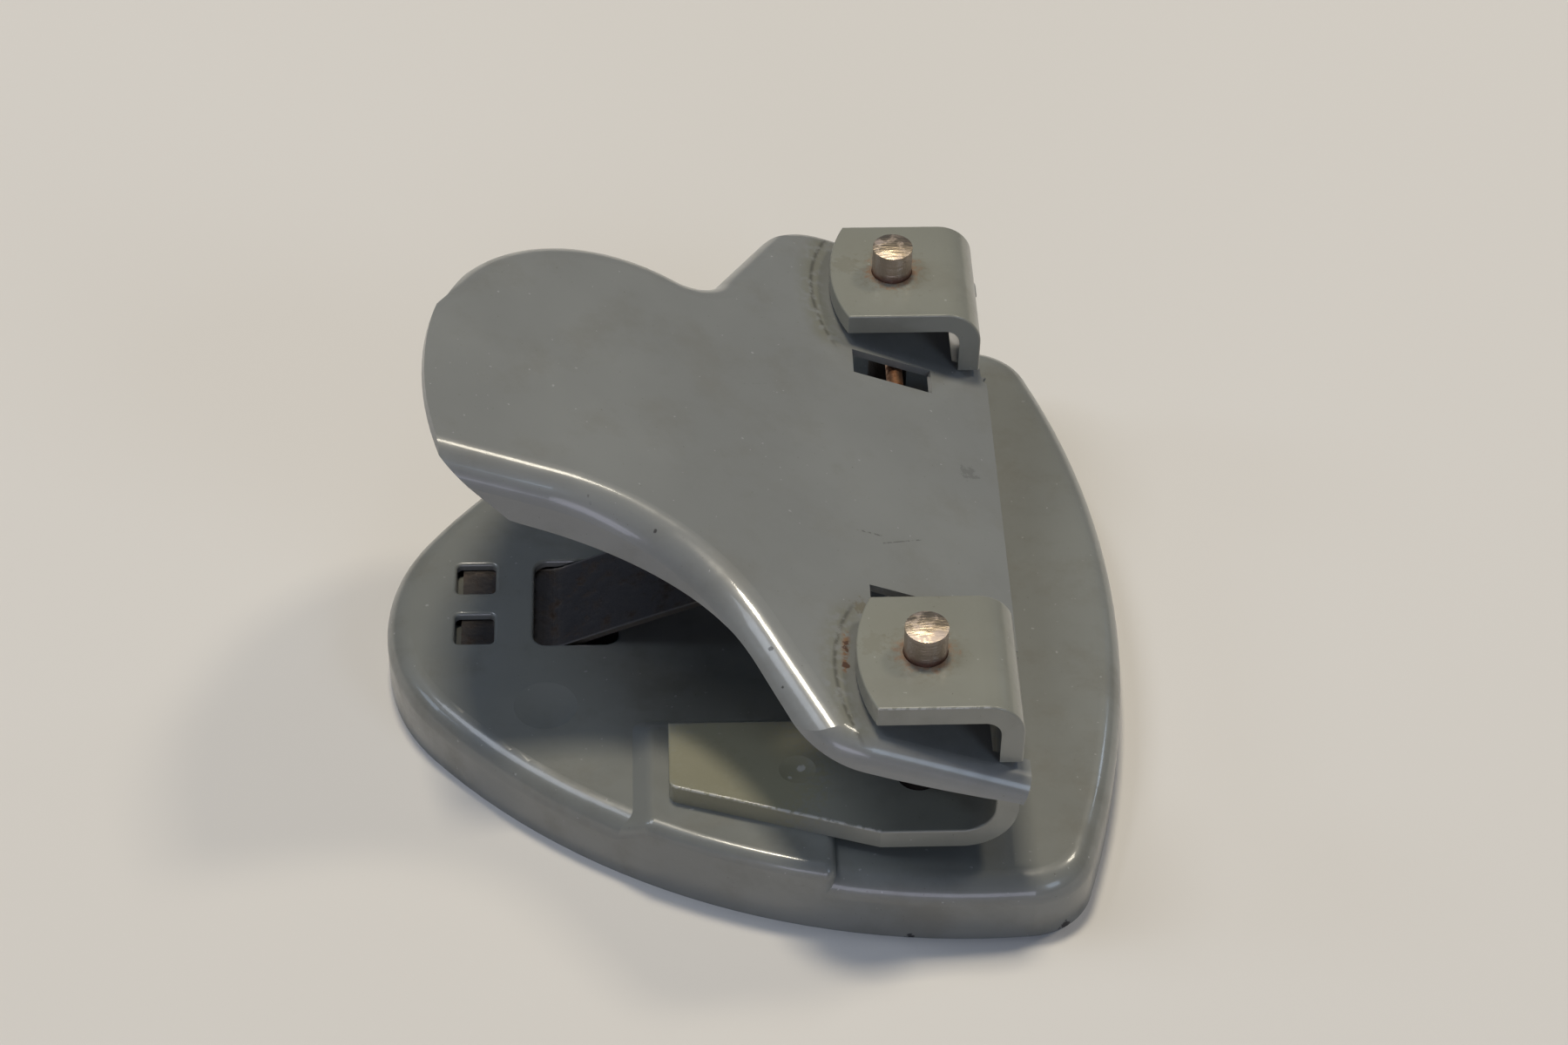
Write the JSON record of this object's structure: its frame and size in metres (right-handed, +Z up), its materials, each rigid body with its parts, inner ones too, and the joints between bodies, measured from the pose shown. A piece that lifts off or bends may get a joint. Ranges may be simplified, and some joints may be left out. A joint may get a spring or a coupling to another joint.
{
  "type": "sheet metal hole punch",
  "caption": "Desk hole punch of pressed sheet steel: hollow dished base, bent plate brackets that guide round punch pins, and a flanged press handle lifted by a leaf spring.",
  "frame": {"origin": "middle of the base's outline on the surface it stands on", "axes": "+X from the free end of the handle to the rear edge where the paper goes in, +Y across the punch, +Z up"},
  "size_m": [0.1086, 0.1144, 0.0591],
  "materials": {
    "grey_paint": "semi-gloss grey-green enamel, worn",
    "pin_steel": "ground, tarnished",
    "rod_steel": "rusted",
    "spring_steel": "brown blued strip"
  },
  "bodies": {
    "frame": {"base": "grey_paint", "bracket_left": "grey_paint", "bracket_right": "grey_paint", "leaf_spring": "spring_steel"},
    "press_handle": {"handle": "grey_paint"},
    "punch_set": {"punch_pin_left": "pin_steel", "punch_pin_right": "pin_steel", "cross_rod": "rod_steel"}
  },
  "joints": [
    {"name": "handle_press", "type": "hinge", "parent": "frame", "child": "press_handle", "pos_m": [0.0335, 0, 0.0279], "axis": [0, -1, 0], "range_deg": [0, 17], "stiffness_Nm_per_rad": 0.2, "springref_deg": -22.92},
    {"name": "punch_stroke", "type": "slide", "parent": "frame", "child": "punch_set", "axis": [0, 0, -1], "range_m": [0, 0.0036], "deforming": ["leaf_spring"]}
  ],
  "couplings": [
    {"joint": "punch_stroke", "follows": "handle_press", "m_per_rad": 0.01167}
  ]
}
